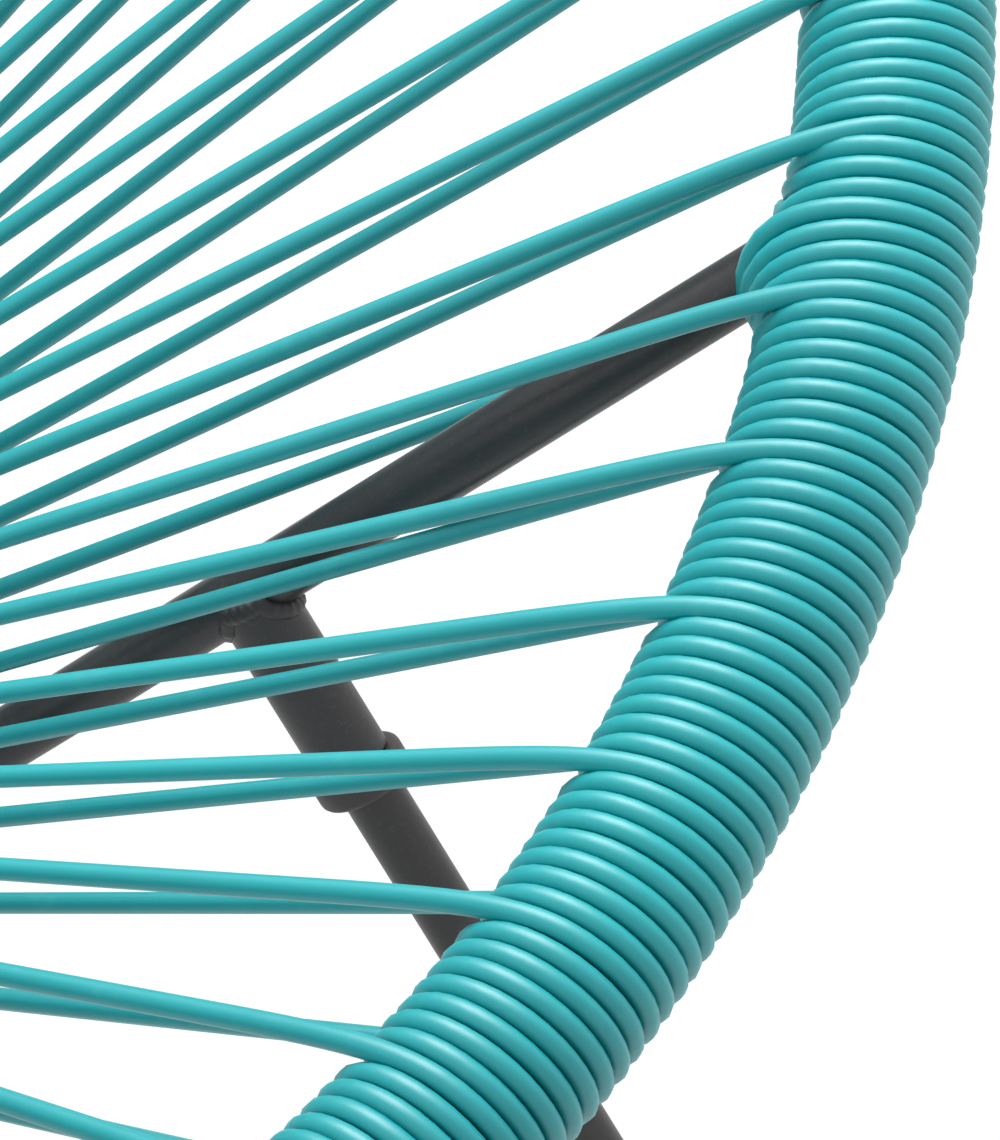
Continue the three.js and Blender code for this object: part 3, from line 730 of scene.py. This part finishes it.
def bead(name, centre, way, pipe, run, run_radius, size, ripple=0.07, beats=26):
    """A weld bead on the saddle where a pipe that leaves along way meets a run of tube."""
    way = way.normalized()
    across = (run - way * run.dot(way)).normalized()
    third = way.cross(across)
    points, swell = [], []
    for n in range(beats * RIPPLE_POINTS):
        turn = 2 * math.pi * n / (beats * RIPPLE_POINTS)
        saddle = run_radius ** 2 - (pipe * math.sin(turn)) ** 2
        height = math.sqrt(max(saddle, (LEAST_SADDLE * run_radius) ** 2))
        points.append(centre + way * height + (across * math.cos(turn) + third * math.sin(turn)) * pipe)
        around = Vector((LUMPS_ROUND * math.cos(turn), LUMPS_ROUND * math.sin(turn), pipe * LUMP_SEED))
        lump = LUMP_SHARE * ripple * noise.noise(around)
        swell.append(1 + ripple * math.sin(2 * math.pi * n / RIPPLE_POINTS) + lump)
    mesh = routed(name, points, size, BEAD_FULLNESS, closed=True, swell=swell)
    piece(name, mesh, weld_finish, "powder_coated_steel")


print("beads:", HOOP_BEAD, "m at the hoop and", SPINE_BEAD, "m at the spine")

# %% [markdown]
# ### Bent support tubes
#
# A support tube ends against the hoop at one end and against the spine at the other. It is drawn along
# its route, without the points that lie deep inside the hoop or the spine, so its ends stay hidden.

# %% Support tubes
HIDDEN_IN_HOOP, HIDDEN_IN_SPINE = 0.4 * HOOP_TUBE, 0.3 * SUPPORT_TUBE
SPINE_WAY = Vector((0, 1, 0))

for (name, route), (distance, _, _) in zip(SUPPORTS.items(), welds):
    centre, along, _, _ = station(distance)
    kept = [p for p in route if (p - centre).length > HIDDEN_IN_HOOP and abs(p.x) > HIDDEN_IN_SPINE]
    mesh = routed(name + "_bent", kept, SUPPORT_TUBE / 2, TUBE_FULLNESS)
    piece(name + "_bent", mesh, steel_finish, "powder_coated_steel", name)
    way = route[3] - route[0]
    bead(name + "_hoop_weld", centre, way, SUPPORT_TUBE / 2, along, HOOP_TUBE / 2, HOOP_BEAD)
    end = route[-1]
    into = route[-3] - end
    bead(name + "_spine_weld", end, into, SUPPORT_TUBE / 2, SPINE_WAY, SUPPORT_TUBE / 2, SPINE_BEAD)
    print(name, "faces", len(mesh.polygons))

# %% [markdown]
# ### Spine tube
#
# The spine is a straight tube along the chair's middle, open at its front end and closed at its back
# end, where the rear socket hangs. A straight tube is simplest as a spun outline, with its bore in it.

# %% Spine tube
SPINE_CLOSURE = 2 * MM
spine_start = Vector((0, SUPPORTS["front_support_right"][-1].y - SPINE_FRONT, SPINE_HEIGHT))
spine_end = Vector((0, SUPPORTS["rear_support_right"][-1].y + SPINE_BACK, SPINE_HEIGHT))
spine_length = (spine_end - spine_start).length
bore = SUPPORT_TUBE / 2 - SUPPORT_WALL
edge = 0.4 * MM
spine_outline = [
    (0, spine_length), (0, spine_length - SPINE_CLOSURE), (bore, spine_length - SPINE_CLOSURE), (bore, 0),
    (SUPPORT_TUBE / 2 - edge, 0), (SUPPORT_TUBE / 2, edge), (SUPPORT_TUBE / 2, spine_length - edge),
    (SUPPORT_TUBE / 2 - edge, spine_length)]
spine_mesh = finished(turned(spine_outline, spine_start, spine_end - spine_start), "spine_tube_turned")
piece("spine_tube_turned", spine_mesh, steel_finish, "powder_coated_steel", "spine_tube")
print("spine length:", round(spine_length, 4), "faces", len(spine_mesh.polygons))

# %% [markdown]
# ## Sockets, legs, collars, screws and feet
#
# The base comes apart for shipping. Each leg plugs into a socket that is welded under the frame, a
# collar stops it there and a screw locks it. All these are turned shapes on the leg's own axis, so one
# function dresses a whole leg.

# %% Leg sizes
SOCKET, SOCKET_BORE, SOCKET_LENGTH = 16 * MM, 13.3 * MM, 42.5 * MM
LEG, LEG_WALL, LEG_IN = 12.5 * MM, 1.2 * MM, 25.5 * MM
COLLAR, COLLAR_HEIGHT = 20.2 * MM, 6 * MM
FOOT, FOOT_HEIGHT, FOOT_FLOOR = 17 * MM, 24 * MM, 5 * MM
SCREW, SCREW_HEAD, HEAD_HEIGHT = 5 * MM, 8.5 * MM, 3 * MM
HEX_KEY, HEX_DEPTH = 4 * MM, 1.8 * MM
FRONT_SOCKET_SHARE = 0.359
FRONT_FOOT, REAR_FOOT = (407 * MM, -280 * MM), 300 * MM


def route_share(route, share):
    """A point that share of the way along a route, and the way it runs there."""
    wanted = share * sum((b - a).length for a, b in zip(route, route[1:]))
    for here, after in zip(route, route[1:]):
        step = (after - here).length
        if wanted <= step:
            return here.lerp(after, wanted / step), (after - here).normalized()
        wanted -= step
    return route[-1], (route[-1] - route[-2]).normalized()


right_top, right_run = route_share(SUPPORTS["front_support_right"], FRONT_SOCKET_SHARE)
left_top, left_run = route_share(SUPPORTS["front_support_left"], FRONT_SOCKET_SHARE)
rear_top = spine_end - Vector((0, SOCKET, 0))
LEGS = {
    "front_right": (right_top, Vector((FRONT_FOOT[0], FRONT_FOOT[1] + RING.y, 0)), right_run),
    "front_left": (left_top, Vector((-FRONT_FOOT[0], FRONT_FOOT[1] + RING.y, 0)), left_run),
    "rear": (rear_top, Vector((0, REAR_FOOT + RING.y, 0)), SPINE_WAY),
}
for place, (top, foot, _) in LEGS.items():
    print(place, "leg runs", round((foot - top).length, 4), "m")

# %% [markdown]
# ### Lock screws
#
# A screw holds each leg in its socket, with a pan head and a recess for a hexagon key. The recess has six
# sides and the head is round, so a circle of six corners is bridged to a round one, and the round one is
# drawn out, step by step, into the head's edge, its underside and the shank.

# %% Lock screw
HEAD_ROUNDING, SHANK_REACH, HEAD_CORNERS, SHARP_FITTING = 0.6 * MM, 4.2 * MM, 36, 30


def lock_screw(origin, way):
    """A pan-head screw whose head's top is at the origin and faces along way."""
    bm = bmesh.new()
    rim = bmesh.ops.create_circle(bm, segments=6, radius=HEX_KEY / 2 / math.cos(math.pi / 6))["verts"]
    hexagon = [e for e in bm.edges if all(v in rim for v in e.verts)]
    pocket = bmesh.ops.extrude_edge_only(bm, edges=hexagon)["geom"]
    low = [v for v in pocket if isinstance(v, bmesh.types.BMVert)]
    bmesh.ops.translate(bm, verts=low, vec=(0, 0, -HEX_DEPTH))
    bmesh.ops.contextual_create(bm, geom=[e for e in pocket if isinstance(e, bmesh.types.BMEdge)])
    ring = bmesh.ops.create_circle(bm, segments=HEAD_CORNERS, radius=SCREW_HEAD / 2 - HEAD_ROUNDING)["verts"]
    outer = [e for e in bm.edges if all(v in ring for v in e.verts)]
    bmesh.ops.bridge_loops(bm, edges=hexagon + outer)
    for radius, drop in ((SCREW_HEAD / 2, HEAD_ROUNDING), (SCREW_HEAD / 2, HEAD_HEIGHT),
                         (SCREW / 2, HEAD_HEIGHT), (SCREW / 2, HEAD_HEIGHT + SHANK_REACH)):
        grown = bmesh.ops.extrude_edge_only(bm, edges=outer)["geom"]
        verts = [v for v in grown if isinstance(v, bmesh.types.BMVert)]
        outer = [e for e in grown if isinstance(e, bmesh.types.BMEdge)]
        for v in verts:
            flat = Vector((v.co.x, v.co.y, 0)).normalized() * radius
            v.co = Vector((flat.x, flat.y, -drop))
    bmesh.ops.contextual_create(bm, geom=outer)
    bmesh.ops.transform(bm, matrix=facing(origin, way), verts=bm.verts)
    return finished(bm, "lock_screw", SHARP_FITTING)


print("lock screw:", round(SCREW, 4), "m with a key of", round(HEX_KEY, 4), "m")

# %% [markdown]
# ### Foot caps
#
# A rubber cap is pushed over each leg's end. It is spun like the other turned parts, with a rounded lip
# and four grip grooves, and longer than it needs to be. The floor's plane then cuts it off, because the
# leg leans and the real cap stands flat.

# %% Foot cap
GROOVES, FIRST_GROOVE, GROOVE_STEP = 4, 5, 3
GROOVE_DEPTH, GROOVE_LAND, GROOVE_END = 0.5 * MM, 1.2 * MM, 1.7 * MM
CAP_LIP, CAP_EDGE, CAP_CORNERS = 1 * MM, 0.3 * MM, 40


def foot_cap(top, way, reach):
    """A grooved cap over a leg's end, cut flat on the floor."""
    ground = FOOT / 2 - GROOVE_DEPTH
    grooves = []
    for n in range(GROOVES):
        low = reach - FOOT_HEIGHT + (FIRST_GROOVE + GROOVE_STEP * n) * MM
        grooves += [(FOOT / 2, low), (ground, low + GROOVE_DEPTH), (ground, low + GROOVE_LAND),
                    (FOOT / 2, low + GROOVE_END)]
    start, pocket = reach - FOOT_HEIGHT, reach - FOOT_FLOOR - FOOT / 2 + SEAT_GAP
    outline = [(0, reach + FOOT), (0, pocket), (LEG / 2 + SEAT_GAP, pocket), (LEG / 2 + SEAT_GAP, start),
               (FOOT / 2 - CAP_LIP, start), (FOOT / 2 - CAP_EDGE, start + CAP_EDGE),
               (FOOT / 2, start + CAP_LIP), *grooves, (FOOT / 2, reach + FOOT)]
    bm = turned(outline, top, way, CAP_CORNERS)
    bmesh.ops.remove_doubles(bm, verts=bm.verts, dist=MERGE_REACH)
    bmesh.ops.recalc_face_normals(bm, faces=bm.faces)
    cut = bmesh.ops.bisect_plane(bm, geom=bm.verts[:] + bm.edges[:] + bm.faces[:], plane_co=(0, 0, 0),
                                 plane_no=(0, 0, 1), clear_inner=True)
    bmesh.ops.contextual_create(bm, geom=[e for e in cut["geom_cut"] if isinstance(e, bmesh.types.BMEdge)])
    return finished(bm, "foot_cap", SHARP_FITTING)


print("foot cap:", GROOVES, "grooves on", round(FOOT, 4), "m")

# %% [markdown]
# ### Socket, leg and collar
#
# The socket and the leg are plain tubes with lightly rounded ends, and the collar is a ring with rounder
# corners. Each is half an outline in radius and height, spun on the leg's axis. The socket's weld is
# broader and smoother than the others. The screw stands square to the leg, on the side that faces the
# chair's back.

# %% Outlines on the leg's axis
TUBE_ROUNDING, COLLAR_ROUNDING, COLLAR_SLACK, CORNER_STEPS = 0.5 * MM, 1.3 * MM, 0.1 * MM, 4
SOCKET_BEAD, SOCKET_RIPPLE, SOCKET_BEATS, BEAD_INSET = 2.1 * MM, 0.035, 30, 0.7 * MM


def socket_outline():
    edge, bore_start = SOCKET / 2 - TUBE_ROUNDING, SUPPORT_TUBE / 2 + SEAT_GAP
    return [(0, bore_start), (0, 0), (edge, 0), (SOCKET / 2, TUBE_ROUNDING),
            (SOCKET / 2, SOCKET_LENGTH - TUBE_ROUNDING), (edge, SOCKET_LENGTH),
            (SOCKET_BORE / 2, SOCKET_LENGTH), (SOCKET_BORE / 2, bore_start)]


def leg_outline(reach):
    start, end = SOCKET_LENGTH - LEG_IN, reach - FOOT_FLOOR - FOOT / 2
    return [(LEG / 2 - LEG_WALL, start), (LEG / 2 - TUBE_ROUNDING, start), (LEG / 2, start + TUBE_ROUNDING),
            (LEG / 2, end), (LEG / 2 - LEG_WALL, end)]


def collar_outline():
    low, inner = SOCKET_LENGTH + SEAT_GAP, LEG / 2 + COLLAR_SLACK
    high = low + COLLAR_HEIGHT
    bends = [math.pi / 2 * n / CORNER_STEPS for n in range(CORNER_STEPS + 1)]
    cuts = [(COLLAR_ROUNDING * (1 - math.sin(a)), COLLAR_ROUNDING * (1 - math.cos(a))) for a in bends]
    return [(inner, low), *((COLLAR / 2 - inset, low + rise) for inset, rise in cuts),
            *((COLLAR / 2 - inset, high - rise) for rise, inset in cuts), (inner, high)]


print("collar outline has", len(collar_outline()), "corners")

# %% One whole leg
def dress_leg(place, top, foot, run):
    way = (foot - top).normalized()
    reach = (foot - top).length
    for part, outline, finish in (("leg_socket", socket_outline(), steel_finish),
                                  ("leg", leg_outline(reach), steel_finish),
                                  ("stop_collar", collar_outline(), collar_finish)):
        mesh = finished(turned(outline, top, way), f"{place}_{part}_turned")
        piece(f"{place}_{part}_turned", mesh, finish, "powder_coated_steel", f"{place}_{part}")
    bead(f"{place}_socket_weld", top, way, SOCKET / 2 - BEAD_INSET, run, SUPPORT_TUBE / 2, SOCKET_BEAD,
         SOCKET_RIPPLE, SOCKET_BEATS)
    cap = foot_cap(top, way, reach)
    piece(f"{place}_foot_cap_ribbed", cap, rubber_finish, "rubber_cap", f"{place}_foot_cap")
    backward = (SPINE_WAY - way * SPINE_WAY.dot(way)).normalized()
    middle = top + way * (SOCKET_LENGTH - LEG_IN / 2)
    head = middle + backward * (SOCKET / 2 + SEAT_GAP + HEAD_HEIGHT)
    screw = lock_screw(head, backward)
    piece(f"{place}_lock_screw_zinc", screw, zinc_finish, "screw_steel", f"{place}_lock_screw")


for place, (top, foot, run) in LEGS.items():
    dress_leg(place, top, foot, run)
    print(place, "leg dressed")

# %% [markdown]
# ## Floor and backdrop
#
# The picture is a studio close-up on white. The floor and the world are white to the camera, to mirrored
# rays and to rays through something clear, and dimmer as sources of light, so the light on the chair
# stays at a plain level. Near the chair a share of the floor is plain, so that it keeps the chair's
# shadow.

# %% Floor and backdrop
SEEN_RAYS = ("Is Camera Ray", "Is Glossy Ray", "Is Transmission Ray")
SHADOW_SHARE, SHADOW_NEAR, SHADOW_FAR = 0.15, 0.7, 1.6
FLOOR_AS_SOURCE, FLOOR_AS_SEEN, FLOOR_REACH = (0.38, 0.38, 0.38, 1), (0.86, 0.86, 0.86, 1), 6

floor_recipe = Recipe("pale studio floor")
seen = sum(floor_recipe.node("LightPath", out=ray) for ray in SEEN_RAYS)
spot = floor_recipe.node("TexCoord", out="Object")
distance = floor_recipe.node("VectorMath", {"operation": "LENGTH"}, {0: spot}, out="Value")
away = floor_recipe.between(distance, SHADOW_NEAR, SHADOW_FAR)
floor_recipe.surface(Base_Color=floor_recipe.blend(seen, FLOOR_AS_SOURCE, FLOOR_AS_SEEN), Roughness=0.7)
plain = Signal(floor_recipe, floor_recipe.shader.outputs[0])
white = floor_recipe.node("Emission", inputs={"Color": (1, 1, 1, 1), "Strength": 1.0})
share = seen * (1 - SHADOW_SHARE + SHADOW_SHARE * away)
floor_recipe.feed(floor_recipe.output.inputs[0],
                  floor_recipe.node("MixShader", inputs={0: share, 1: plain, 2: white}))
bm = bmesh.new()
bmesh.ops.create_grid(bm, x_segments=2, y_segments=2, size=FLOOR_REACH)
floor = bpy.data.objects.new("studio_floor", finished(bm, "studio_floor"))
floor.data.materials.append(floor_recipe.material)
bpy.context.scene.collection.objects.link(floor)
print("floor reaches", FLOOR_REACH, "m and keeps a shadow within", SHADOW_FAR, "m")

# %% World
WORLD_AS_SOURCE = 0.38
world = bpy.data.worlds.new("studio")
world.use_nodes = True
bpy.context.scene.world = world
tree = world.node_tree
tree.nodes.remove(tree.nodes["Background"])
path = tree.nodes.new("ShaderNodeLightPath")
shown = None
for strength, seen_by in ((WORLD_AS_SOURCE, None), *((1.0, ray) for ray in SEEN_RAYS)):
    glow = tree.nodes.new("ShaderNodeBackground")
    glow.inputs["Color"].default_value, glow.inputs["Strength"].default_value = (1, 1, 1, 1), strength
    if seen_by:
        mixer = tree.nodes.new("ShaderNodeMixShader")
        tree.links.new(path.outputs[seen_by], mixer.inputs[0])
        tree.links.new(shown, mixer.inputs[1])
        tree.links.new(glow.outputs[0], mixer.inputs[2])
        shown = mixer.outputs[0]
    else:
        shown = glow.outputs[0]
tree.links.new(shown, tree.nodes["World Output"].inputs[0])
print("world gives a light of", WORLD_AS_SOURCE)

# %% [markdown]
# ## Lamps
#
# A soft lamp above and behind the chair gives the broad highlight on the turns. Two weaker ones at the
# sides open the shadows, and are kept out of reflections so that they add no second highlight.

# %% Lamps
def lamp(name, place, aim, size, watts, mirrored=True):
    data = bpy.data.lights.new(name, "AREA")
    data.shape, data.size, data.energy = "SQUARE", size, watts
    obj = bpy.data.objects.new(name, data)
    obj.location = place
    obj.rotation_euler = (aim - Vector(place)).to_track_quat("-Z", "Y").to_euler()
    obj.visible_glossy = mirrored
    bpy.context.scene.collection.objects.link(obj)


seat = Vector((0.15, -0.1, 0.42))
lamp("overhead", (0.2, 0.9, 2.35), seat, 1.6, 80)
lamp("left fill", (-1.9, -1.3, 1.3), seat, 1.4, 18, mirrored=False)
lamp("right fill", (2.0, -0.6, 1.2), seat, 1.2, 16, mirrored=False)
print("lamps:", [light.name for light in bpy.data.lights])

# %% [markdown]
# ## Camera
#
# The camera's place and turn were solved from the photograph's turns, strings and rim together. They are
# given from the ring's middle: where the camera is, and which ways its picture's right and down point.

# %% Camera
CAMERA_FROM_RING = Vector((-49.9, -923.07, 716.48)) * MM
TO_THE_RIGHT = Vector((0.94205, -0.32958, 0.06266))
DOWNWARD = Vector((-0.15588, -0.59541, -0.78816))
FOCAL_PIXELS, FRAME_HEIGHT = 5408.36, 1140
view = bpy.data.cameras.new("photo view")
view.sensor_width = 36
view.lens = FOCAL_PIXELS / FRAME_HEIGHT * view.sensor_width
view.clip_start, view.clip_end = 0.05, 30
camera = bpy.data.objects.new("photo view", view)
forward = TO_THE_RIGHT.cross(DOWNWARD)
camera.matrix_world = Matrix.Translation(RING + CAMERA_FROM_RING) @ Matrix(
    (TO_THE_RIGHT, -DOWNWARD, -forward)).transposed().to_4x4()
bpy.context.scene.collection.objects.link(camera)
bpy.context.scene.camera = camera
bpy.context.scene.view_settings.view_transform = "Standard"
print("lens:", round(view.lens, 2), "mm, camera at", [round(v, 3) for v in camera.location])
